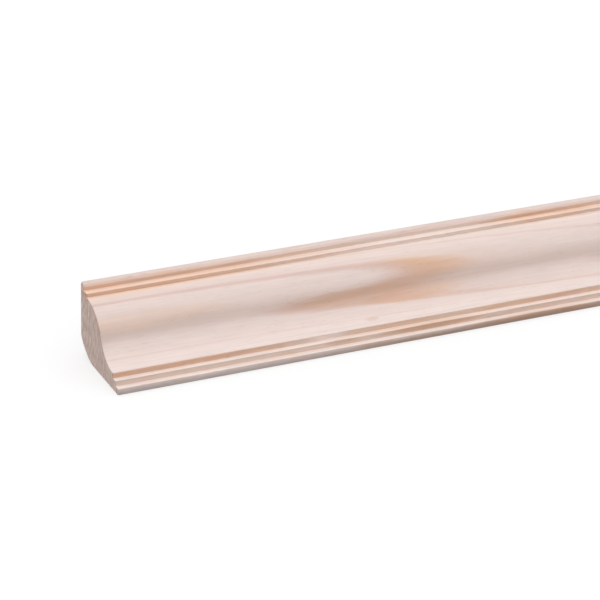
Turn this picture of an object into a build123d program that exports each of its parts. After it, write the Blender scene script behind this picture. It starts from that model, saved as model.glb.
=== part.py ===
from build123d import *
import math
import os

# Cornice moulding: one length of softwood run through a moulding cutter.
# Millimetres. +X runs along the length, +Y points to the wall, +Z is up.
# The origin is at mid-length and mid-depth, on the floor under the base face.
# The section is a bead, a step, an ogee (a crown over a hollow) and two steps down
# to a square foot. The base and the wall side are the two flat contact faces.

# Overall size of the stock
LENGTH = 2400.0
DEPTH = 50.0
HEIGHT = 40.0

# Bead along the top of the wall side
BEAD_THICKNESS = 4.0
BEAD_HEIGHT = 3.9

# Step between the bead and the ogee
UPPER_TREAD = 4.0
UPPER_RISER = 2.0

# Ogee: only the crown's radius is set, the hollow's radius follows from the tangency
CROWN_RADIUS = 21.0

# Steps between the ogee and the foot
LOWER_STEPS = 2
LOWER_TREAD = 3.4
LOWER_RISER = 2.7
FOOT_HEIGHT = 3.6

# Rounded relief of the back corner, which keeps it clear of the wall's own corner
RELIEF_DEPTH = 16.0
RELIEF_HEIGHT = 10.0
RELIEF_RADIUS = 23.0

# Easing of the outer arrises
ARRIS_RADIUS = 0.4

# Heights and depths that follow from the sizes above
wall_side = DEPTH / 2
front_side = -DEPTH / 2
bead_front = wall_side - BEAD_THICKNESS
upper_tread_top = HEIGHT - BEAD_HEIGHT
ogee_back = bead_front - UPPER_TREAD
ogee_top = upper_tread_top - UPPER_RISER
ogee_front = front_side + LOWER_STEPS * LOWER_TREAD
ogee_foot = FOOT_HEIGHT + LOWER_STEPS * LOWER_RISER

# The crown and the hollow are level where they start and end, and meet in a tangent
ogee_run = ogee_back - ogee_front
ogee_drop = ogee_top - ogee_foot
radius_sum = (ogee_run**2 + ogee_drop**2) / (2 * ogee_drop)
hollow_radius = radius_sum - CROWN_RADIUS
ogee_sweep = math.degrees(math.acos(1 - ogee_drop / radius_sum))

# The relief runs from the base face to the wall side
relief_foot = (wall_side - RELIEF_DEPTH, 0)
relief_head = (wall_side, RELIEF_HEIGHT)


def step_corners():
    """Return the corners of the lower steps, from the ogee's foot to the foot's top."""
    corners = []
    for step in range(1, LOWER_STEPS + 1):
        tread_back = ogee_front - (step - 1) * LOWER_TREAD
        tread_height = ogee_foot - step * LOWER_RISER
        corners.append((tread_back, tread_height))
        corners.append((tread_back - LOWER_TREAD, tread_height))
    return corners


lower_corners = step_corners()
foot_corner = (front_side, 0)

# Outer corners that the cutter leaves slightly eased
tread_noses = [(ogee_front, ogee_foot)] + lower_corners[1::2]
eased_corners = [(ogee_back, upper_tread_top), foot_corner] + tread_noses

with BuildPart() as cornice_moulding:
    with BuildSketch(Plane.YZ.offset(-LENGTH / 2)) as section:
        with BuildLine() as outline:
            wall_face = Line(relief_head, (wall_side, HEIGHT - BEAD_THICKNESS / 2))
            bead = JernArc(wall_face @ 1, wall_face % 1, BEAD_THICKNESS / 2, 180)
            upper_step = Polyline(
                bead @ 1,
                (bead_front, upper_tread_top),
                (ogee_back, upper_tread_top),
                (ogee_back, ogee_top),
            )
            crown = JernArc(upper_step @ 1, (-1, 0), CROWN_RADIUS, ogee_sweep)
            hollow = JernArc(crown @ 1, crown % 1, hollow_radius, -ogee_sweep)
            lower_step = Polyline(hollow @ 1, *lower_corners, foot_corner)
            base_face = Line(foot_corner, relief_foot)
            relief = RadiusArc(relief_foot, relief_head, -RELIEF_RADIUS)
        make_face()
        arrises = [section.vertices().sort_by_distance(corner)[0] for corner in eased_corners]
        fillet(arrises, radius=ARRIS_RADIUS)
    extrude(amount=LENGTH)

cornice_moulding.part.label = "cornice_moulding"

os.makedirs("parts", exist_ok=True)
export_step(cornice_moulding.part, "parts/cornice_moulding.step")
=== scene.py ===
"""Looks of a softwood cornice moulding: one machined length of raw pine on a pale floor.

Everything is in metres in the moulding's own frame: +X runs along the length, +Y points to
the wall, +Z is up, and the origin is at mid-length and mid-depth under the base face.
"""

from __future__ import annotations

import logging
import math
from dataclasses import dataclass
from enum import Enum
from functools import reduce
from typing import Any, Iterable, Mapping, Sequence, Union

import bpy
from mathutils import Matrix, Vector

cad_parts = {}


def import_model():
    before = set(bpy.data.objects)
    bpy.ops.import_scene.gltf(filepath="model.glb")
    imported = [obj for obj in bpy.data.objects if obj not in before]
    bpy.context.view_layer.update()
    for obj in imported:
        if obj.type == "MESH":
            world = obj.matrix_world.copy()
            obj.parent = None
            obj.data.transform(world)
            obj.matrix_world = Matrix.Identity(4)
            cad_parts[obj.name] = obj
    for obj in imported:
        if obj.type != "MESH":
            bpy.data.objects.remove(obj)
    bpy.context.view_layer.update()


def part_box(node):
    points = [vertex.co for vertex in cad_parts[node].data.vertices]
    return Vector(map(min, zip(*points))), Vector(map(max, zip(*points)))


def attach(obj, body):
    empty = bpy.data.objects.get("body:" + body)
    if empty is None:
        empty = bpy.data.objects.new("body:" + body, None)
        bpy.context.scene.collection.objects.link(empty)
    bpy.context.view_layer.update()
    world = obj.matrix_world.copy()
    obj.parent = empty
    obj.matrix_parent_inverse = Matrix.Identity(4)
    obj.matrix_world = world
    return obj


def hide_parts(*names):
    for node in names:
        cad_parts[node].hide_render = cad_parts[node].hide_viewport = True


log = logging.getLogger("cornice")

MM = 0.001
NODE = "cornice_moulding"
BODY = "root"
ARRIS = "arris"
OUTWARD = "outward"
SOCKET_KINDS = {
    float: "NodeSocketFloat",
    int: "NodeSocketInt",
    bpy.types.Material: "NodeSocketMaterial",
}

Node = bpy.types.Node
Socket = bpy.types.NodeSocket
Key = Union[str, int]
Colour = tuple[float, float, float]
Point = tuple[float, float]
Span = tuple[float, float]


def linear(level: float) -> float:
    """Turn a channel as it looks on screen into a linear one, both 0 to 1."""
    return level / 12.92 if level <= 0.04045 else ((level + 0.055) / 1.055) ** 2.4


def colour(red: int, green: int, blue: int) -> Colour:
    """Turn a colour as it looks on screen, 0 to 255, into a linear one, 0 to 1."""
    return (linear(red / 255), linear(green / 255), linear(blue / 255))


def grey(level: float) -> tuple[float, float, float, float]:
    """A grey as a colour socket holds it."""
    return (level, level, level, 1.0)


def new_material(name: str) -> bpy.types.Material:
    """Make a material that has nodes.

    Args:
        name: The material's name.

    Returns:
        The material.
    """
    material = bpy.data.materials.new(name)
    material.use_nodes = True
    return material


def new_object(name: str, data: bpy.types.ID) -> bpy.types.Object:
    """Make an object and put it in the scene.

    Args:
        name: The object's name.
        data: Its mesh, camera or other data.

    Returns:
        The object.
    """
    made = bpy.data.objects.new(name, data)
    bpy.context.scene.collection.objects.link(made)
    return made


class Bench:
    """Lays nodes into one tree, for a material or for a mesh."""

    def __init__(self, tree: bpy.types.NodeTree) -> None:
        """Start on a tree with nothing in it."""
        self.tree = tree
        self.tree.nodes.clear()

    @staticmethod
    def find(sockets: Iterable[Socket], key: Key) -> Socket:
        """Find an input or output of a node.

        Args:
            sockets: The node's inputs or outputs.
            key: The socket's identifier, name or place.

        Returns:
            The socket.
        """
        listed = list(sockets)
        if isinstance(key, int):
            return listed[key]
        by_identifier = [socket for socket in listed if socket.identifier == key]
        by_name = [socket for socket in listed if socket.name == key and socket.enabled]
        return (by_identifier or by_name)[0]

    def node(self, kind: str, sockets: Mapping[Key, Any] | None = None, **settings: Any) -> Node:
        """Add a node, set it up, then give its inputs their values or links.

        Args:
            kind: The node's type.
            sockets: A value, socket, number or node for each input. A node stands for its
                first output.
            **settings: Properties of the node, which are set first.

        Returns:
            The new node.
        """
        node = self.tree.nodes.new(kind)
        for name, setting in settings.items():
            setattr(node, name, setting)
        for key, value in (sockets or {}).items():
            socket = self.find(node.inputs, key)
            if isinstance(value, Number):
                value = value.socket
            elif isinstance(value, Node):
                value = value.outputs[0]
            if isinstance(value, Socket):
                self.tree.links.new(value, socket)
            else:
                socket.default_value = value
        return node

    def number(self, node: Node, key: Key = 0) -> "Number":
        """Wrap an output of a node as a number."""
        return Number(self, self.find(node.outputs, key))

    def vector(self, x: "Amount", y: "Amount", z: "Amount") -> Socket:
        """Join three numbers into a vector."""
        return self.node("ShaderNodeCombineXYZ", {"X": x, "Y": y, "Z": z}).outputs[0]

    def noise(self, place: Socket, detail: float = 2.0) -> "Number":
        """Smooth noise from -0.5 to 0.5, where one unit of the place is one blotch."""
        sockets = {"Vector": place, "Scale": 1.0, "Detail": detail}
        return self.number(self.node("ShaderNodeTexNoise", sockets)) - 0.5

    def chance(self, value: "Number") -> "Number":
        """Draw a number from 0 to 1 for each value."""
        drawn = self.node("ShaderNodeTexWhiteNoise", {"W": value}, noise_dimensions="1D")
        return self.number(drawn, "Value")

    def attribute(self, name: str, kind: str) -> Socket:
        """Read a named attribute of a mesh."""
        named = self.node("GeometryNodeInputNamedAttribute", {"Name": name}, data_type=kind)
        return self.find(named.outputs, "Attribute")

    def blend(self, share: "Amount", first: Any, second: Any, how: str = "MIX") -> Socket:
        """Mix two colours.

        Args:
            share: How much of the second colour, 0 to 1.
            first: The first colour or its socket.
            second: The second colour or its socket.
            how: The blend type.

        Returns:
            The mixed colour's socket.
        """
        sockets = {"Factor_Float": share}
        for key, tint in (("A_Color", first), ("B_Color", second)):
            sockets[key] = tint if isinstance(tint, Socket) else (*tint, 1.0)
        mix = self.node("ShaderNodeMix", sockets, data_type="RGBA", blend_type=how)
        return self.find(mix.outputs, "Result_Color")


class Number:
    """A number socket in a node tree. Arithmetic on it adds Math nodes."""

    def __init__(self, bench: Bench, socket: Socket) -> None:
        """Wrap a socket of the bench's tree."""
        self.bench = bench
        self.socket = socket

    def run(self, operation: str, *values: "Amount") -> "Number":
        """Add one Math node on these values and wrap its result."""
        node = self.bench.node("ShaderNodeMath", dict(enumerate(values)), operation=operation)
        return self.bench.number(node)

    def __add__(self, other: "Amount") -> "Number":
        """Add."""
        return self.run("ADD", self, other)

    def __radd__(self, other: "Amount") -> "Number":
        """Add from the right."""
        return self.run("ADD", other, self)

    def __sub__(self, other: "Amount") -> "Number":
        """Subtract."""
        return self.run("SUBTRACT", self, other)

    def __rsub__(self, other: "Amount") -> "Number":
        """Subtract this from another."""
        return self.run("SUBTRACT", other, self)

    def __mul__(self, other: "Amount") -> "Number":
        """Multiply."""
        return self.run("MULTIPLY", self, other)

    def __truediv__(self, other: "Amount") -> "Number":
        """Divide."""
        return self.run("DIVIDE", self, other)

    def __neg__(self) -> "Number":
        """Change the sign."""
        return self.run("MULTIPLY", self, -1.0)

    def __abs__(self) -> "Number":
        """Drop the sign."""
        return self.run("ABSOLUTE", self)

    def sign(self) -> "Number":
        """Give -1, 0 or 1."""
        return self.run("SIGN", self)

    def floor(self) -> "Number":
        """Round down."""
        return self.run("FLOOR", self)

    def cosine(self) -> "Number":
        """Cosine of an angle in radians."""
        return self.run("COSINE", self)

    def root(self) -> "Number":
        """Square root."""
        return self.run("SQRT", self)

    def exponential(self) -> "Number":
        """The number e to this power."""
        return self.run("EXPONENT", self)

    def least(self, other: "Amount") -> "Number":
        """The smaller of the two."""
        return self.run("MINIMUM", self, other)

    def most(self, other: "Amount") -> "Number":
        """The larger of the two."""
        return self.run("MAXIMUM", self, other)

    def ease(self, start: "Amount", full: "Amount") -> "Number":
        """Change smoothly from 0 to 1. Either limit may be the larger.

        Args:
            start: Where it is 0.
            full: Where it is 1.

        Returns:
            The share, 0 to 1.
        """
        span = {"Value": self, "From Min": start, "From Max": full}
        node = self.bench.node("ShaderNodeMapRange", span, interpolation_type="SMOOTHSTEP")
        return self.bench.number(node)


Amount = Union[Number, float, int]


@dataclass(frozen=True)
class SectionSizes:
    """Driving sizes of the moulded section, in metres, as in the part's source."""

    bead_thickness: float = 4.0 * MM
    bead_height: float = 3.9 * MM
    upper_tread: float = 4.0 * MM
    upper_riser: float = 2.0 * MM
    crown_radius: float = 21.0 * MM
    lower_steps: int = 2
    lower_tread: float = 3.4 * MM
    lower_riser: float = 2.7 * MM
    foot_height: float = 3.6 * MM
    relief_depth: float = 16.0 * MM
    relief_height: float = 10.0 * MM
    relief_radius: float = 23.0 * MM
    arris_radius: float = 0.4 * MM


class Turn(Enum):
    """The way that a round stretch of the outline turns."""

    OUTWARD = 1
    INWARD = -1


class Outline:
    """A closed outline in the section's plane, walked with the wood on the left."""

    FEWEST_STEPS = 4
    SAME_PLACE = 0.001 * MM

    def __init__(self, flat_pitch: float, round_pitch: float) -> None:
        """Start an empty outline.

        Args:
            flat_pitch: The longest spacing of points on a flat.
            round_pitch: The longest spacing of points on a round.
        """
        self.flat_pitch = flat_pitch
        self.round_pitch = round_pitch
        self.points: list[Point] = []
        self.wear: list[float] = []

    def _put(self, point: Point, wear: float) -> None:
        """Add one point and how far it stands out to be worn."""
        self.points.append(point)
        self.wear.append(wear)

    def start(self, point: Point) -> None:
        """Set the first point."""
        self._put(point, 0.0)

    def line(self, end: Point) -> None:
        """Go straight to a point.

        Args:
            end: The point.
        """
        begin = self.points[-1]
        steps = max(1, math.ceil(math.dist(begin, end) / self.flat_pitch))
        for step in range(1, steps + 1):
            share = step / steps
            place = [begin[axis] + (end[axis] - begin[axis]) * share for axis in (0, 1)]
            self._put((place[0], place[1]), 0.0)

    def arc(
        self, radius: float, heading: float, sweep: float, turn: Turn, wear: float = 0.0
    ) -> None:
        """Go round an arc from the last point.

        Args:
            radius: The arc's radius.
            heading: The direction at its start, in radians from +Y towards +Z.
            sweep: How far it turns, in radians.
            turn: Whether the wood is inside or outside the arc.
            wear: How much the middle of the arc may be worn.
        """
        side = turn.value
        begin = self.points[-1]
        centre = (
            begin[0] - side * radius * math.sin(heading),
            begin[1] + side * radius * math.cos(heading),
        )
        steps = max(self.FEWEST_STEPS, math.ceil(radius * sweep / self.round_pitch))
        for step in range(1, steps + 1):
            share = step / steps
            angle = heading + side * sweep * share
            place = (
                centre[0] + side * radius * math.sin(angle),
                centre[1] - side * radius * math.cos(angle),
            )
            self._put(place, wear * math.sin(math.pi * share))

    def arris(self, corner: Point, heading: float, radius: float) -> None:
        """Go to a square outer corner and round its easing.

        Args:
            corner: The sharp corner.
            heading: The direction towards it, in radians from +Y towards +Z.
            radius: The easing's radius.
        """
        before = (corner[0] - radius * math.cos(heading), corner[1] - radius * math.sin(heading))
        self.line(before)
        self.arc(radius, heading, math.pi / 2, Turn.OUTWARD, wear=1.0)

    def normals(self) -> list[Point]:
        """Work out the direction out of the wood at each point.

        Returns:
            Unit directions in Y and Z.
        """
        count = len(self.points)
        result = []
        for index in range(count):
            before = self.points[index - 1]
            after = self.points[(index + 1) % count]
            span = math.dist(before, after)
            result.append(((after[1] - before[1]) / span, (before[0] - after[0]) / span))
        return result

    def _drop(self) -> None:
        """Drop the last point."""
        self.points.pop()
        self.wear.pop()

    def trim(self, front: float) -> None:
        """Drop the last points that lie nearer the front than this."""
        while self.points[-1][0] < front:
            self._drop()

    def close(self) -> None:
        """Drop the last point where it falls on the first."""
        if math.dist(self.points[0], self.points[-1]) < self.SAME_PLACE:
            self._drop()


@dataclass(frozen=True)
class SweepTree:
    """Geometry Nodes that run the section along the length and dress the result.

    The path's stations crowd towards both ends, where the cut shows closest. A span is where
    an effect grows from nothing to full.
    """

    stations: int = 560
    wear_depth: float = 0.10 * MM
    wear_pitch: float = 9.0 * MM
    wear_detail: float = 3.0
    wear_edge: Span = (0.02, 0.3)
    end_wear: float = 0.9 * MM
    end_wear_on_faces: float = 0.3
    wander: float = 0.05 * MM
    wander_pitch: float = 160.0 * MM
    wander_turns: float = 8.0
    wander_detail: float = 1.0
    wander_from_end: float = 2.0 * MM
    sharp_angle: float = math.radians(28)
    seed: float = 4.0

    def settings(self, length: float, finish: bpy.types.Material) -> dict[str, Any]:
        """Name the tree's inputs and give their values.

        Args:
            length: The moulding's length.
            finish: The material.

        Returns:
            The value of each input but the section.
        """
        return {
            "Length": length,
            "Stations": self.stations,
            "Wear Depth": self.wear_depth,
            "Wear Pitch": self.wear_pitch,
            "End Wear": self.end_wear,
            "Wander": self.wander,
            "Wander Pitch": self.wander_pitch,
            "Sharp Angle": self.sharp_angle,
            "Seed": self.seed,
            "Finish": finish,
        }

    def build(self, settings: Mapping[str, Any]) -> tuple[bpy.types.NodeTree, dict[str, str]]:
        """Lay out the tree.

        Args:
            settings: The value of each input but the section, by name.

        Returns:
            The node group, and the identifier of each of those inputs.
        """
        tree = bpy.data.node_groups.new("sweep_moulding", "GeometryNodeTree")
        bench = Bench(tree)
        tree.interface.new_socket("Mesh", in_out="OUTPUT", socket_type="NodeSocketGeometry")
        tree.interface.new_socket("Section", in_out="INPUT", socket_type="NodeSocketGeometry")
        identifiers = {}
        for name, value in settings.items():
            kind = SOCKET_KINDS[type(value)]
            socket = tree.interface.new_socket(name, in_out="INPUT", socket_type=kind)
            identifiers[name] = socket.identifier
        given = bench.node("NodeGroupInput")
        worn = self._dress(bench, given, self._sweep(bench, given))
        smooth = bench.node("GeometryNodeSetShadeSmooth", {"Geometry": worn}, domain="FACE")
        angle = bench.number(bench.node("GeometryNodeInputMeshEdgeAngle"), "Unsigned Angle")
        sides = {0: angle, 1: bench.number(given, "Sharp Angle")}
        sharp = bench.node("FunctionNodeCompare", sides, operation="GREATER_THAN")
        edges = {"Geometry": smooth, "Selection": sharp, "Shade Smooth": False}
        crisp = bench.node("GeometryNodeSetShadeSmooth", edges, domain="EDGE")
        real = bench.node("GeometryNodeRealizeInstances", {"Geometry": crisp})
        finish = bench.find(given.outputs, "Finish")
        dressed = bench.node("GeometryNodeSetMaterial", {"Geometry": real, "Material": finish})
        bench.node("NodeGroupOutput", {"Mesh": dressed})
        return tree, identifiers

    def _sweep(self, bench: Bench, given: Node) -> Node:
        """Run the section along a path whose stations crowd to both ends.

        Args:
            bench: The tree's bench.
            given: The group's input node.

        Returns:
            The node that gives the swept mesh.
        """
        ends = {"Start": (-1.0, 0.0, 0.0), "End": (1.0, 0.0, 0.0)}
        line = bench.node("GeometryNodeCurvePrimitiveLine", ends)
        spaced = {"Curve": line, "Count": bench.number(given, "Stations")}
        path = bench.node("GeometryNodeResampleCurve", spaced)
        along = bench.number(bench.node("GeometryNodeSplineParameter"), "Factor") * 2 - 1
        from_end = 1 - abs(along)
        place = along.sign() * (1 - from_end * from_end) * (bench.number(given, "Length") / 2)
        moved = {"Geometry": path, "Position": bench.vector(place, 0.0, 0.0)}
        spine = bench.node("GeometryNodeSetPosition", moved)
        section = bench.find(given.outputs, "Section")
        profile = bench.node("GeometryNodeMeshToCurve", {"Mesh": section})
        curves = {"Curve": spine, "Profile Curve": profile, "Fill Caps": True}
        return bench.node("GeometryNodeCurveToMesh", curves)

    def _dress(self, bench: Bench, given: Node, mesh: Node) -> Node:
        """Sink the arrises where they are worn, and let the planed faces wander a hair.

        Args:
            bench: The tree's bench.
            given: The group's input node.
            mesh: The node that gives the swept mesh.

        Returns:
            The node that gives the dressed mesh.
        """
        position = bench.node("GeometryNodeInputPosition")
        place = bench.node("ShaderNodeSeparateXYZ", {0: position})
        x, y, z = (bench.number(place, axis) for axis in "XYZ")
        seed, pitch, slow, end_wear = (
            bench.number(given, name) for name in ("Seed", "Wear Pitch", "Wander Pitch", "End Wear")
        )
        nicks = bench.noise(bench.vector(x / pitch + seed, y / pitch, z / pitch), self.wear_detail)
        arris = Number(bench, bench.attribute(ARRIS, "FLOAT"))
        bruises = arris * nicks.ease(*self.wear_edge) * bench.number(given, "Wear Depth")
        turns = self.wander_turns
        slowly = bench.vector(x / slow + seed, y / slow * turns, z / slow * turns)
        drift = bench.noise(slowly, self.wander_detail)
        from_end = bench.number(given, "Length") / 2 - abs(x)
        inside = from_end.ease(0.0, self.wander_from_end)
        wander = abs(drift) * bench.number(given, "Wander") * inside
        near_end = 1 - (from_end / end_wear).least(1.0)
        rounding = (1 - (1 - near_end * near_end).most(0.0).root()) * end_wear
        rounding = rounding * (self.end_wear_on_faces + arris * (1 - self.end_wear_on_faces))
        sink = bruises + wander + rounding
        inward = {"Vector": bench.attribute(OUTWARD, "FLOAT_VECTOR"), "Scale": -sink}
        push = bench.node("ShaderNodeVectorMath", inward, operation="SCALE")
        return bench.node("GeometryNodeSetPosition", {"Geometry": mesh, "Offset": push})


@dataclass(frozen=True)
class Streak:
    """A long soft mark in the wood: where its middle is and how far it reaches.

    Every size is in millimetres, measured from the visible end, the wall side and the base.
    """

    along: float
    out: float
    up: float
    reach_along: float
    reach_out: float
    reach_up: float
    strength: float = 1.0


@dataclass(frozen=True)
class Blotches:
    """Noise in the wood: one blotch's size in millimetres, and how many finer layers it has."""

    along: float
    out: float
    up: float
    detail: float = 2.0


@dataclass(frozen=True)
class Riser:
    """An upright face between two steps, in millimetres from the wall side and the base."""

    out: float
    low: float
    high: float


@dataclass(frozen=True)
class Wood:
    """A point in the wood, in millimetres from the visible end, the wall side and the base.

    Its end is 1 on the sawn ends and 0 elsewhere. The spans are where a streak and an end
    grow from nothing to full.
    """

    bench: Bench
    along: Number
    out: Number
    up: Number
    end: Number
    ragged: Blotches = Blotches(20.0, 1.4, 1.4)
    ragged_share: float = 0.5
    streak_edge: Span = (1.05, 0.35)
    end_edge: Span = (0.12, 0.02)

    @classmethod
    def read(cls, bench: Bench, length: float, depth: float) -> "Wood":
        """Read the point from Object coordinates.

        Args:
            bench: The material's bench.
            length: The moulding's length in metres.
            depth: The moulding's depth out from the wall in metres.

        Returns:
            The point.
        """
        object_place = bench.node("ShaderNodeTexCoord").outputs["Object"]
        place = bench.node("ShaderNodeSeparateXYZ", {0: object_place})
        along = (bench.number(place, "X") + length / 2) / MM
        out = (depth / 2 - bench.number(place, "Y")) / MM
        up = bench.number(place, "Z") / MM
        end = along.least(length / MM - along).ease(*cls.end_edge)
        return cls(bench, along, out, up, end)

    def noise(self, blotches: Blotches) -> Number:
        """Noise about zero, with blotches of this size."""
        x, y, z = self.along / blotches.along, self.out / blotches.out, self.up / blotches.up
        return self.bench.noise(self.bench.vector(x, y, z), blotches.detail)

    def reach(self, streak: Streak) -> Number:
        """Work out how far off a streak's middle the point is.

        Args:
            streak: The streak.

        Returns:
            The square of the distance, which is 1 at the streak's reach.
        """
        x = (self.along - streak.along) / streak.reach_along
        y = (self.out - streak.out) / streak.reach_out
        z = (self.up - streak.up) / streak.reach_up
        return x * x + y * y + z * z

    def streaks(self, streaks: Sequence[Streak]) -> Number:
        """Lay soft streaks with ragged edges.

        Args:
            streaks: The streaks.

        Returns:
            How marked the wood is, from 0 to the strength of the strongest streak there.
        """
        ragged = self.noise(self.ragged) * self.ragged_share
        marks = []
        for streak in streaks:
            distance = self.reach(streak).root() + ragged
            marks.append(distance.ease(*self.streak_edge) * streak.strength)
        return reduce(Number.most, marks)


@dataclass(frozen=True)
class WoodTones:
    """Colours of the wood, and painted shade and light on some of its faces. All but the first are
    shares of the first.
    """

    early: Colour = colour(244, 225, 218)
    pink_late: Colour = (0.88, 0.785, 0.76)
    brown_late: Colour = (0.86, 0.70, 0.59)
    orange_late: Colour = (0.92, 0.70, 0.515)
    resin: Colour = (1.00, 0.87, 0.76)
    brown: Colour = (0.80, 0.63, 0.50)
    # Painted shade in the narrow grooves on the steps' upright faces, darker and warmer, and a
    # greyer tint where resin lies on that shade.
    riser_shade: Colour = (0.86, 0.83, 0.77)
    riser_resin_tone: Colour = (0.97, 0.94, 0.92)
    # Painted highlight on the steps' level faces.
    tread_light: Colour = (1.06, 1.08, 1.07)
    clean: Colour = (1.00, 1.03, 1.04)
    warm: Colour = (0.99, 0.92, 0.86)
    cool: Colour = (0.93, 0.94, 0.96)
    # Painted contact shadow on the foot's front.
    foot_shadow: Colour = (0.76, 0.75, 0.75)
    canal: Colour = (0.80, 0.70, 0.60)
    # Painted shade on the ogee's steepest stretch.
    steep_shade: Colour = (0.895, 0.86, 0.83)
    crown: Colour = (0.965, 0.965, 0.962)
    # Painted shade on the bead's back and a painted highlight on its front.
    bead_back_shade: Colour = (0.85, 0.865, 0.87)
    bead_front_light: Colour = (1.03, 1.01, 1.00)
    end_grain: Colour = (0.93, 0.88, 0.84)


@dataclass(frozen=True)
class GrowthRings:
    """The rings of the log that the length was sawn from, in millimetres.

    The pith runs beside the moulding, behind the wall side and below the base, and bows
    gently along the length. Where a ring only grazes the ogee it shows as a wide flame.
    Slight swellings shift the rings by up to a millimetre, their strength, so that the
    flame's edges fall where the photo shows them.
    """

    pith_out: float = -21.0
    pith_up: float = -10.0
    flame_radius: float = 56.6
    ring_width: float = 3.4
    bow_height: float = 3.5
    bow_length: float = 1000.0
    swellings: tuple[Streak, ...] = (
        Streak(135.0, 12.0, 27.0, 70.0, 9.0, 9.0, 0.6),
        Streak(55.0, 26.0, 23.0, 75.0, 9.0, 9.0, -1.0),
        Streak(170.0, 32.0, 18.0, 75.0, 4.0, 4.0, 0.8),
        Streak(65.0, 30.0, 17.0, 35.0, 6.0, 6.0, 0.6),
    )
    drift: Blotches = Blotches(120.0, 16.0, 16.0, 1.0)
    drift_height: float = 0.16
    waver: Blotches = Blotches(24.0, 3.0, 3.0)
    feather: Blotches = Blotches(11.0, 0.55, 0.55)
    waver_height: float = 0.20

    def count(self, wood: Wood) -> Number:
        """Count the rings outwards from the outer edge of the one that shows as the flame.

        Args:
            wood: The point in the wood.

        Returns:
            The count, a whole number at each ring's outer edge.
        """
        across = wood.out - self.pith_out
        above = wood.up - self.pith_up
        radius = (across * across + above * above).root()
        bow = (1 - (wood.along * (2 * math.pi / self.bow_length)).cosine()) * self.bow_height
        waver = (wood.noise(self.waver) + wood.noise(self.feather)) * self.waver_height
        place = radius - bow + wood.noise(self.drift) * self.drift_height + waver
        for swelling in self.swellings:
            place = place + (-wood.reach(swelling)).exponential() * swelling.strength
        return (place - self.flame_radius) / self.ring_width


@dataclass(frozen=True)
class Latewood:
    """The dark part of each ring, which fades inwards from the ring's sharp outer edge.

    One ring is the flame, broad and dark. It is heaviest on its lower arm and at its tip,
    and further along only in patches. The others are thin lines. Depths are in from the
    edge, and all are in millimetres. A span is where an effect grows from nothing to full.
    """

    edge: float = 0.46
    line_depth: float = 1.0
    line_strength: float = 0.4
    line_chance: float = 0.35
    line_at_end: float = 0.6
    year_seed: float = 3.5
    flame_year: float = -1.0
    flame_fade: Span = (1.15, 0.45)
    heavy_fade: Span = (1.60, 0.58)
    tail: Span = (2.7, 0.9)
    tail_strength: float = 0.22
    lower_up: Span = (28.0, 22.0)
    lower_along: Span = (70.0, 115.0)
    heavy_along: Span = (100.0, 175.0)
    lighter_along: Span = (198.0, 240.0)
    lighter_share: float = 0.6
    patches_along: Span = (260.0, 400.0)
    patch_pitch: float = 240.0
    patch_place: float = 5.0
    patch_edge: Span = (-0.05, 0.2)
    pale_up: Span = (20.0, 13.5)
    pale_along: Span = (140.0, 185.0)
    pale_share: float = 0.22
    pale_growth: float = 0.2
    brown_along: Span = (130.0, 190.0)
    orange_depth: Span = (0.25, 0.8)
    orange_along: Span = (140.0, 180.0)

    def lay(self, wood: Wood, rings: GrowthRings, tones: WoodTones) -> tuple[Number, Socket]:
        """Lay the latewood of every ring.

        Args:
            wood: The point in the wood.
            rings: The rings.
            tones: The wood's colours.

        Returns:
            How dense the latewood is, 0 to 1, and the colour's socket.
        """
        count = rings.count(wood)
        year = count.floor()
        depth = (1 - (count - year)) * rings.ring_width
        flame = 1 - abs(year - self.flame_year).least(1.0)
        lower = wood.up.ease(*self.lower_up) * wood.along.ease(*self.lower_along)
        heavy = self._heavy(wood, lower)
        dark = self._flame(wood, depth, heavy) * flame + self._line(wood, depth, year) * (1 - flame)
        brown = heavy * flame * lower.most(wood.along.ease(*self.brown_along))
        orange = heavy * flame * (1 - lower) * wood.along.ease(*self.orange_along)
        tone = wood.bench.blend(brown, tones.pink_late, tones.brown_late)
        tone = wood.bench.blend(orange * depth.ease(*self.orange_depth), tone, tones.orange_late)
        return depth.ease(0.0, self.edge) * dark, tone

    def _heavy(self, wood: Wood, lower: Number) -> Number:
        """Work out how heavy the flame is.

        Args:
            wood: The point in the wood.
            lower: 1 on the flame's lower arm.

        Returns:
            Its weight, 0 to 1.
        """
        near = wood.along.ease(*self.heavy_along).most(lower)
        near = near * (1 - wood.along.ease(*self.lighter_along) * self.lighter_share)
        place = wood.bench.vector(wood.along / self.patch_pitch, self.patch_place, self.patch_place)
        patches = wood.bench.noise(place).ease(*self.patch_edge)
        return near.most(patches * wood.along.ease(*self.patches_along))

    def _flame(self, wood: Wood, depth: Number, heavy: Number) -> Number:
        """Draw the flame's ring, which reaches deeper where it is heavy.

        Args:
            wood: The point in the wood.
            depth: How far in from the ring's edge the point is.
            heavy: How heavy the flame is.

        Returns:
            How dark the ring is, 0 to 1.
        """
        spans = zip(self.flame_fade, self.heavy_fade)
        fade = [light + heavy * (dense - light) for light, dense in spans]
        growth = wood.along.ease(*self.pale_along) * self.pale_growth
        pale = wood.up.ease(*self.pale_up) * (self.pale_share + growth)
        tail = depth.ease(*self.tail) * self.tail_strength
        return (depth.ease(*fade) * (1 - pale)).most(tail)

    def _line(self, wood: Wood, depth: Number, year: Number) -> Number:
        """Draw any other ring, which differs from year to year and is darker on the ends.

        Args:
            wood: The point in the wood.
            depth: How far in from the ring's edge the point is.
            year: The ring's number.

        Returns:
            How dark the ring is, 0 to 1.
        """
        chance = wood.bench.chance(year + self.year_seed)
        strength = self.line_strength + chance * self.line_chance
        return depth.ease(self.line_depth, 0.0) * strength * (1 + wood.end * self.line_at_end)


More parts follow.
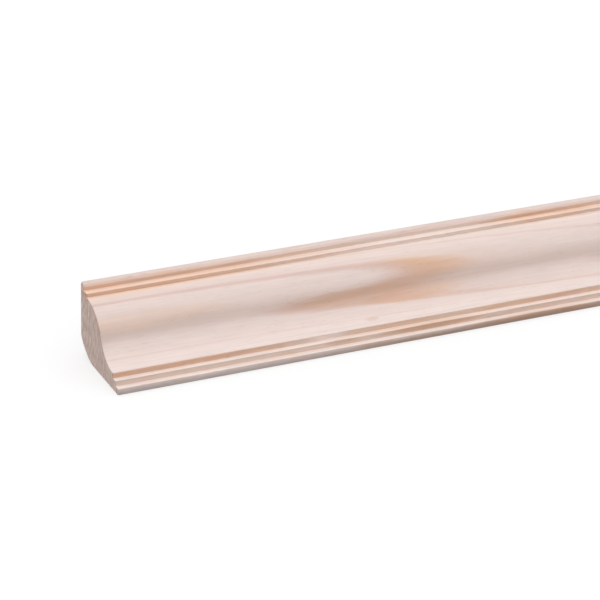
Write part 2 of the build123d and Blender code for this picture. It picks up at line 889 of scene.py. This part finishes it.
@dataclass(frozen=True)
class Stain:
    """Streaks set one by one near the visible end, and scattered ones further along."""

    streaks: tuple[Streak, ...]
    scattered: Blotches
    scattered_edge: Span
    scattered_along: Span = (250.0, 340.0)
    scattered_strength: float = 0.8

    def share(self, wood: Wood) -> Number:
        """Lay the placed streaks and the scattered ones.

        Args:
            wood: The point in the wood.

        Returns:
            How stained the wood is, 0 to 1.
        """
        scattered = wood.noise(self.scattered).ease(*self.scattered_edge)
        further = wood.along.ease(*self.scattered_along) * self.scattered_strength
        return wood.streaks(self.streaks).most(scattered * further)


@dataclass(frozen=True)
class Faces:
    """Where the faces of the section lie, in millimetres out from the wall side and up.

    A span is where the mark on a face grows from nothing to full.
    """

    steep_out: Span = (18.0, 23.0)
    steep_top: Span = (28.0, 22.0)
    steep_foot: Span = (16.5, 21.0)
    crown_out: Span = (7.6, 8.8)
    crown_up: Span = (25.0, 30.0)
    bead_out: Span = (2.1, 3.6)
    bead_up: Span = (37.8, 38.6)
    toe_out: Span = (35.5, 38.5)
    toe_edge: Span = (42.9, 42.3)
    foot_out: Span = (49.0, 49.8)
    foot_up: Span = (3.6, 0.4)
    foot_along: Span = (110.0, 200.0)
    foot_near: float = 0.7
    steps_out: Span = (41.5, 43.5)
    steps_up: Span = (33.5, 34.5)
    on_face: Span = (0.45, 0.15)
    riser_lip: float = 0.25
    riser_arris: float = 0.5
    tread_start: float = 0.4

    def upright(self, wood: Wood, risers: Sequence[Riser]) -> Number:
        """Find the steps' upright faces, which take painted shade.

        Args:
            wood: The point in the wood.
            risers: The upright faces.

        Returns:
            1 on them, 0 elsewhere.
        """
        marks = []
        for riser in risers:
            near = abs(wood.out - riser.out).ease(*self.on_face)
            above = wood.up.ease(riser.low - self.riser_lip, riser.low)
            below = wood.up.ease(riser.high, riser.high - self.riser_arris)
            marks.append(near * above * below)
        return reduce(Number.most, marks)

    def treads(self, wood: Wood, risers: Sequence[Riser]) -> Number:
        """Find the steps' level faces, which take a painted highlight.

        Args:
            wood: The point in the wood.
            risers: The upright faces that they start from.

        Returns:
            1 on them, 0 elsewhere.
        """
        marks = []
        for riser in risers:
            level = abs(wood.up - riser.low).ease(*self.on_face)
            marks.append(level * wood.out.ease(riser.out, riser.out + self.tread_start))
        return reduce(Number.most, marks)

    def steep(self, wood: Wood) -> Number:
        """1 on the steepest stretch of the ogee, which takes painted shade."""
        height = wood.up.ease(*self.steep_top) * wood.up.ease(*self.steep_foot)
        return wood.out.ease(*self.steep_out) * height

    def crown(self, wood: Wood) -> Number:
        """1 on the crown of the ogee."""
        return wood.out.ease(*self.crown_out) * wood.up.ease(*self.crown_up)

    def toe(self, wood: Wood) -> Number:
        """1 on the lowest, flattest stretch of the ogee."""
        return wood.out.ease(*self.toe_out) * wood.out.ease(*self.toe_edge)

    def foot(self, wood: Wood) -> Number:
        """How much painted contact shadow the foot's front takes: darker towards the base, lighter
        near the visible end.
        """
        shadowed = self.foot_near + wood.along.ease(*self.foot_along) * (1 - self.foot_near)
        return wood.up.ease(*self.foot_up) * shadowed * wood.out.ease(*self.foot_out)

    def steps(self, wood: Wood) -> Number:
        """1 on the steps, the foot and the bead."""
        return wood.out.ease(*self.steps_out).most(wood.up.ease(*self.steps_up))


@dataclass(frozen=True)
class SawMarks:
    """Marks that the saw left on the ends, in millimetres: slanting teeth, and fuzz on them."""

    slant: float = 0.15
    tooth_out: float = 1.9
    tooth_up: float = 5.0
    tooth_seed: float = 3.0
    fuzz_out: float = 0.4
    fuzz_up: float = 0.9
    fuzz_seed: float = 9.0
    fuzz_detail: float = 3.0
    fuzz_share: float = 0.35

    def height(self, wood: Wood) -> Number:
        """Work out how high the marks stand.

        Args:
            wood: The point in the wood.

        Returns:
            The height, about zero.
        """
        bench = wood.bench
        lean = wood.out - wood.up * self.slant
        tooth = bench.vector(lean / self.tooth_out, wood.up / self.tooth_up, self.tooth_seed)
        fuzz = bench.vector(lean / self.fuzz_out, wood.up / self.fuzz_up, self.fuzz_seed)
        return bench.noise(tooth) + bench.noise(fuzz, self.fuzz_detail) * self.fuzz_share


@dataclass(frozen=True)
class RawPine:
    """Raw machined pine: growth rings through the solid, fibre, resin and sawn ends, with painted
    shade and light on some faces.
    """

    tones: WoodTones = WoodTones()
    rings: GrowthRings = GrowthRings()
    latewood: Latewood = Latewood()
    faces: Faces = Faces()
    saw_marks: SawMarks = SawMarks()
    resin: Stain = Stain(
        streaks=(
            Streak(0.0, 6.5, 35.8, 165.0, 7.5, 5.0),
            Streak(264.0, 6.0, 36.2, 56.0, 4.5, 3.5, 0.9),
            Streak(40.0, 43.2, 7.4, 75.0, 1.6, 2.6, 0.9),
            Streak(235.0, 43.4, 7.2, 60.0, 1.6, 2.6, 0.8),
            Streak(150.0, 43.3, 7.2, 50.0, 1.5, 2.4, 0.55),
            Streak(165.0, 45.0, 6.3, 42.0, 3.0, 1.0, 0.6),
            Streak(25.0, 24.5, 25.5, 60.0, 6.0, 6.0, 0.5),
            Streak(172.0, 30.0, 17.0, 34.0, 5.0, 5.5, 0.8),
        ),
        scattered=Blotches(150.0, 3.4, 2.4, 1.0),
        scattered_edge=(0.08, 0.26),
    )
    brown: Stain = Stain(
        streaks=(
            Streak(172.0, 46.6, 4.9, 38.0, 1.4, 2.0, 0.9),
            Streak(139.0, 50.0, 1.8, 18.0, 1.0, 1.8, 0.6),
            Streak(232.0, 50.0, 1.8, 66.0, 3.2, 2.5),
            Streak(200.0, 50.4, 0.4, 125.0, 1.4, 3.2, 0.7),
            Streak(122.0, 46.8, 5.4, 11.0, 1.6, 2.2, 0.35),
            Streak(143.5, 37.7, 10.0, 4.8, 1.7, 1.6, 0.42),
            Streak(248.0, 4.2, 35.8, 42.0, 1.6, 2.0, 0.35),
        ),
        scattered=Blotches(70.0, 1.8, 1.5, 1.0),
        scattered_edge=(0.20, 0.34),
    )
    clean: tuple[Streak, ...] = (
        Streak(117.0, 43.0, 7.8, 13.0, 2.6, 3.4, 0.75),
        Streak(165.0, 8.0, 35.1, 62.0, 1.4, 2.4, 0.36),
    )
    mottle: Blotches = Blotches(17.0, 1.7, 1.7)
    mottle_reach: float = 0.25
    mottle_on_ogee: float = 0.25
    fibres: tuple[tuple[Blotches, float], ...] = (
        (Blotches(14.0, 3.0, 3.0), 0.5),
        (Blotches(34.0, 1.1, 1.1), 0.8),
        (Blotches(8.0, 0.2, 0.2), 0.6),
    )
    canals: Blotches = Blotches(4.5, 0.24, 0.24, 0.0)
    canal_patches: Blotches = Blotches(60.0, 5.0, 5.0, 1.0)
    canal_patch_share: float = 0.2
    canal_edge: Span = (0.25, 0.33)
    canal_tint: float = 0.6
    fibre_tint: float = 0.15
    saw_tint: float = 0.9
    relief: float = 0.03 * MM
    late_height: float = 0.5
    fibre_height: float = 0.8
    saw_height: float = 3.0
    ripple_height: float = 0.06
    ripple_pitch: float = 1.7
    roughness: float = 0.64
    fibre_roughness: float = 0.12
    late_gloss: float = 0.08
    end_roughness: float = 0.18
    refraction: float = 1.45
    specular: float = 0.30

    def build(self, length: float, depth: float, risers: Sequence[Riser]) -> bpy.types.Material:
        """Make the material.

        Args:
            length: The moulding's length.
            depth: The moulding's depth out from the wall.
            risers: The upright faces of the steps.

        Returns:
            The material, which reads Object coordinates only.
        """
        material = new_material("raw_pine")
        bench = Bench(material.node_tree)
        wood = Wood.read(bench, length, depth)
        planed = 1 - wood.end
        late, late_tone = self.latewood.lay(wood, self.rings, self.tones)
        fibre = self._fibre(wood)
        canals = self._canals(wood) * planed
        saw = self.saw_marks.height(wood) * wood.end

        tone = bench.blend(late, self.tones.early, late_tone, "MULTIPLY")
        for share, tint in self._tints(wood, risers, canals, planed):
            tone = bench.blend(share, tone, tint, "MULTIPLY")
        level = 1 + fibre * self.fibre_tint * planed + saw * self.saw_tint
        tone = bench.blend(1.0, tone, bench.vector(level, level, level), "MULTIPLY")

        ripple = (wood.along * (2 * math.pi / self.ripple_pitch)).cosine() * self.ripple_height
        grain = late * self.late_height + fibre * self.fibre_height + ripple - canals
        height = grain * planed + saw * self.saw_height
        bump_inputs = {"Strength": 1.0, "Distance": self.relief, "Height": height}
        rough = self.roughness + fibre * self.fibre_roughness - late * self.late_gloss
        surface_inputs = {
            "Base Color": tone,
            "Roughness": rough + wood.end * self.end_roughness,
            "IOR": self.refraction,
            "Specular IOR Level": self.specular,
            "Normal": bench.node("ShaderNodeBump", bump_inputs),
        }
        surface = bench.node("ShaderNodeBsdfPrincipled", surface_inputs)
        bench.node("ShaderNodeOutputMaterial", {"Surface": surface})
        return material

    def _tints(
        self, wood: Wood, risers: Sequence[Riser], canals: Number, planed: Number
    ) -> Iterable[tuple[Number, Any]]:
        """Say where the wood takes each further tint, some of which are painted shade and light.

        Args:
            wood: The point in the wood.
            risers: The upright faces of the steps.
            canals: 1 on opened resin canals.
            planed: 1 on all but the sawn ends.

        Returns:
            The share of each tint, 0 to 1, and the tint, in the order they are laid.
        """
        tones = self.tones
        faces = self.faces
        resin = self.resin.share(wood)
        # Spots where neither resin nor the risers' painted shade is laid.
        clean = wood.streaks(self.clean)
        upright = faces.upright(wood, risers) * planed * (1 - clean)
        treads = faces.treads(wood, risers) * (1 - upright)
        # Painted shade on the bead's back and a painted highlight on its front.
        bead = wood.bench.blend(wood.out.ease(*faces.bead_out), tones.bead_back_shade, tones.bead_front_light)
        mottle = wood.noise(self.mottle)
        mottled = (self.mottle_on_ogee + faces.steps(wood) * (1 - self.mottle_on_ogee)) * planed
        return (
            (resin * (1 - clean), tones.resin),
            (self.brown.share(wood), tones.brown),
            (canals * self.canal_tint, tones.canal),
            # Painted shade on the risers, where shade falls in the grooves between the steps.
            (upright, tones.riser_shade),
            (upright * resin, tones.riser_resin_tone),
            # Painted highlight on the steps' level faces.
            (treads * planed, tones.tread_light),
            # Painted shade on the ogee's steepest stretch.
            (faces.steep(wood) * planed, tones.steep_shade),
            (faces.crown(wood) * planed, tones.crown),
            # Painted shade and highlight on the bead.
            (wood.up.ease(*faces.bead_up) * planed, bead),
            (faces.toe(wood) * planed, tones.clean),
            (mottle.ease(0.0, self.mottle_reach) * mottled, tones.warm),
            (mottle.ease(0.0, -self.mottle_reach) * mottled, tones.cool),
            # Painted contact shadow on the foot, darker towards the base.
            (faces.foot(wood) * planed, tones.foot_shadow),
            (wood.end, tones.end_grain),
        )

    def _fibre(self, wood: Wood) -> Number:
        """Fibre in several sizes, drawn out along the length, about zero."""
        return reduce(Number.__add__, [wood.noise(size) * share for size, share in self.fibres])

    def _canals(self, wood: Wood) -> Number:
        """1 on the short fine lines where the cutter opened a resin canal."""
        patches = wood.noise(self.canal_patches) * self.canal_patch_share
        return (wood.noise(self.canals) + patches).ease(*self.canal_edge)


@dataclass(frozen=True)
class Moulding:
    """The dressed moulding, which stands for the solid of the same sizes."""

    low: Vector
    high: Vector
    sizes: SectionSizes = SectionSizes()
    finish: RawPine = RawPine()
    sweep: SweepTree = SweepTree()
    flat_pitch: float = 2.6 * MM
    round_pitch: float = 0.9 * MM

    def outline(self) -> Outline:
        """Draw the section.

        Returns:
            The closed outline in Y and Z.
        """
        sizes = self.sizes
        wall = self.high.y
        front = self.low.y
        top = self.high.z
        bead_radius = sizes.bead_thickness / 2
        bead_front_light = wall - sizes.bead_thickness
        tread_top = top - sizes.bead_height
        ogee_back = bead_front_light - sizes.upper_tread
        ogee_top = tread_top - sizes.upper_riser
        ogee_front = front + sizes.lower_steps * sizes.lower_tread
        ogee_foot = sizes.foot_height + sizes.lower_steps * sizes.lower_riser
        run = ogee_back - ogee_front
        drop = ogee_top - ogee_foot
        radius_sum = (run**2 + drop**2) / (2 * drop)
        sweep = math.acos(1 - drop / radius_sum)
        upward, backward, downward = math.pi / 2, math.pi, -math.pi / 2

        outline = Outline(self.flat_pitch, self.round_pitch)
        outline.start((wall, sizes.relief_height))
        outline.line((wall, top - bead_radius))
        outline.arc(bead_radius, upward, math.pi, Turn.OUTWARD, wear=1.0)
        outline.line((bead_front_light, tread_top))
        outline.arris((ogee_back, tread_top), backward, sizes.arris_radius)
        outline.line((ogee_back, ogee_top))
        outline.arc(sizes.crown_radius, backward, sweep, Turn.OUTWARD)
        outline.arc(radius_sum - sizes.crown_radius, backward + sweep, sweep, Turn.INWARD)
        nose = (ogee_front, ogee_foot)
        for _ in range(sizes.lower_steps):
            outline.trim(nose[0] + sizes.arris_radius)
            outline.arris(nose, backward, sizes.arris_radius)
            riser_foot = (nose[0], nose[1] - sizes.lower_riser)
            outline.line(riser_foot)
            nose = (riser_foot[0] - sizes.lower_tread, riser_foot[1])
        outline.arris(nose, backward, sizes.arris_radius)
        outline.arris((front, 0.0), downward, sizes.arris_radius)
        relief_foot = (wall - sizes.relief_depth, 0.0)
        outline.line(relief_foot)
        chord = math.dist(relief_foot, (wall, sizes.relief_height))
        half_sweep = math.asin(chord / 2 / sizes.relief_radius)
        chord_heading = math.atan2(sizes.relief_height, sizes.relief_depth)
        outline.arc(sizes.relief_radius, chord_heading - half_sweep, 2 * half_sweep, Turn.OUTWARD)
        outline.close()
        return outline

    def risers(self) -> list[Riser]:
        """List the steps' upright faces but the foot's.

        Returns:
            The faces, in millimetres from the wall side and the base.
        """
        sizes = self.sizes
        top = self.high.z
        tread = top - sizes.bead_height
        faces = [
            (sizes.bead_thickness, tread, top - sizes.bead_thickness / 2),
            (sizes.bead_thickness + sizes.upper_tread, tread - sizes.upper_riser, tread),
        ]
        depth = self.high.y - self.low.y
        for step in range(sizes.lower_steps):
            low = sizes.foot_height + step * sizes.lower_riser
            faces.append((depth - (step + 1) * sizes.lower_tread, low, low + sizes.lower_riser))
        return [Riser(*(size / MM for size in face)) for face in faces]

    def section_mesh(self) -> bpy.types.Mesh:
        """Make the section a ring of edges, turned as the sweep expects it.

        Returns:
            The mesh, in which X stands for -Y and Y for -Z of the moulding.
        """
        outline = self.outline()
        count = len(outline.points)
        log.info("section: %d points", count)
        mesh = bpy.data.meshes.new("section")
        vertices = [(-y, -z, 0.0) for y, z in outline.points]
        edges = [(index, (index + 1) % count) for index in range(count)]
        mesh.from_pydata(vertices, edges, [])
        arris = mesh.attributes.new(ARRIS, "FLOAT", "POINT")
        arris.data.foreach_set("value", outline.wear)
        outward = mesh.attributes.new(OUTWARD, "FLOAT_VECTOR", "POINT")
        directions = [part for normal in outline.normals() for part in (0.0, *normal)]
        outward.data.foreach_set("vector", directions)
        return mesh

    def build(self) -> bpy.types.Object:
        """Sweep the section, dress it and put it in the solid's place.

        Returns:
            The finished piece.
        """
        length = self.high.x - self.low.x
        material = self.finish.build(length, self.high.y - self.low.y, self.risers())
        settings = self.sweep.settings(length, material)
        tree, identifiers = self.sweep.build(settings)
        guide = new_object("section", self.section_mesh())
        modifier = guide.modifiers.new("sweep", "NODES")
        modifier.node_group = tree
        for name, value in settings.items():
            modifier[identifiers[name]] = value
        graph = bpy.context.evaluated_depsgraph_get()
        mesh = bpy.data.meshes.new_from_object(guide.evaluated_get(graph))
        bpy.data.objects.remove(guide)
        mesh.name = "moulding"
        piece = new_object("moulding", mesh)
        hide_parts(NODE)
        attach(piece, BODY)
        log.info("moulding: %d faces", len(mesh.polygons))
        return piece


@dataclass(frozen=True)
class PhotoView:
    """The camera: where it looks from, and where one corner of the moulding falls in the frame.

    The corner is where the visible end's wall side and base would meet without the relief.
    Pixels are those of a square frame of frame_size.
    """

    azimuth: float = math.radians(-25.74)
    elevation: float = math.radians(25.68)
    roll: float = math.radians(-1.82)
    frame_size: float = 600.0
    focal_pixels: float = 2806.2
    corner_x: float = 81.10
    corner_y: float = 352.46
    corner_distance: float = 1402.6 * MM
    sensor: float = 36.0
    clip: Span = (0.05, 50.0)

    def build(self, corner: Vector) -> bpy.types.Object:
        """Make the camera.

        Args:
            corner: The corner's place in the frame of the moulding.

        Returns:
            The camera, which is also the scene's camera.
        """
        level = Vector((-math.sin(self.azimuth), math.cos(self.azimuth), 0.0))
        ahead = level * math.cos(self.elevation) - Vector((0, 0, math.sin(self.elevation)))
        level_right = ahead.cross(Vector((0, 0, 1))).normalized()
        level_down = ahead.cross(level_right)
        right = level_right * math.cos(self.roll) + level_down * math.sin(self.roll)
        down = level_down * math.cos(self.roll) - level_right * math.sin(self.roll)
        centre = self.frame_size / 2
        per_pixel = self.corner_distance / self.focal_pixels
        place = (
            corner
            - ahead * self.corner_distance
            - right * (self.corner_x - centre) * per_pixel
            - down * (self.corner_y - centre) * per_pixel
        )
        data = bpy.data.cameras.new("camera")
        data.sensor_width = self.sensor
        data.lens = self.focal_pixels / self.frame_size * self.sensor
        data.clip_start, data.clip_end = self.clip
        camera = new_object("camera", data)
        axes = Matrix((right, -down, -ahead)).transposed()
        camera.matrix_world = Matrix.Translation(place) @ axes.to_4x4()
        bpy.context.scene.camera = camera
        return camera


@dataclass(frozen=True)
class Studio:
    """Pale floor and soft light from all round above."""

    floor_reach: float = 12.0
    sky: float = 1.0
    floor_bounce: float = 0.06
    floor_glow: float = 0.62
    floor_share: float = 0.40

    def build(self) -> bpy.types.Object:
        """Make the light and the floor.

        Returns:
            The floor.
        """
        self._world()
        reach = self.floor_reach
        turned = ((-1, -1), (1, -1), (1, 1), (-1, 1))
        corners = [(x * reach, y * reach, 0.0) for x, y in turned]
        mesh = bpy.data.meshes.new("floor")
        mesh.from_pydata(corners, [], [(0, 1, 2, 3)])
        mesh.materials.append(self._floor())
        floor = new_object("floor", mesh)
        return floor

    def _world(self) -> None:
        """Light the scene evenly from a white sky."""
        world = bpy.data.worlds.new("studio")
        world.use_nodes = True
        bpy.context.scene.world = world
        bench = Bench(world.node_tree)
        sky = bench.node("ShaderNodeBackground", {"Color": grey(1.0), "Strength": self.sky})
        bench.node("ShaderNodeOutputWorld", {"Surface": sky})

    def _floor(self) -> bpy.types.Material:
        """Make the floor white to the eye, with a soft shadow, and dim to the wood.

        Returns:
            The floor's material.
        """
        material = new_material("studio_floor")
        bench = Bench(material.node_tree)
        path = bench.node("ShaderNodeLightPath")
        kinds = ("Camera", "Glossy", "Transmission")
        seen = reduce(Number.most, [bench.number(path, f"Is {kind} Ray") for kind in kinds])
        glow = bench.node("ShaderNodeEmission", {"Color": grey(1.0), "Strength": self.floor_glow})
        lit = bench.node("ShaderNodeBsdfDiffuse", {"Color": grey(self.floor_share)})
        shown = bench.node("ShaderNodeAddShader", {0: glow, 1: lit})
        dim = bench.node("ShaderNodeBsdfDiffuse", {"Color": grey(self.floor_bounce)})
        both = bench.node("ShaderNodeMixShader", {0: seen, 1: dim, 2: shown})
        bench.node("ShaderNodeOutputMaterial", {"Surface": both})
        return material


def main() -> None:
    """Load the frame, build the moulding, the camera and the studio."""
    logging.basicConfig(level=logging.INFO, format="%(name)s: %(message)s")
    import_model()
    bpy.context.scene.view_settings.view_transform = "Standard"
    low, high = (Vector(corner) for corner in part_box(NODE))
    Studio().build()
    Moulding(low, high).build()
    PhotoView().build(Vector((low.x, high.y, low.z)))


if __name__ == "__main__":
    main()
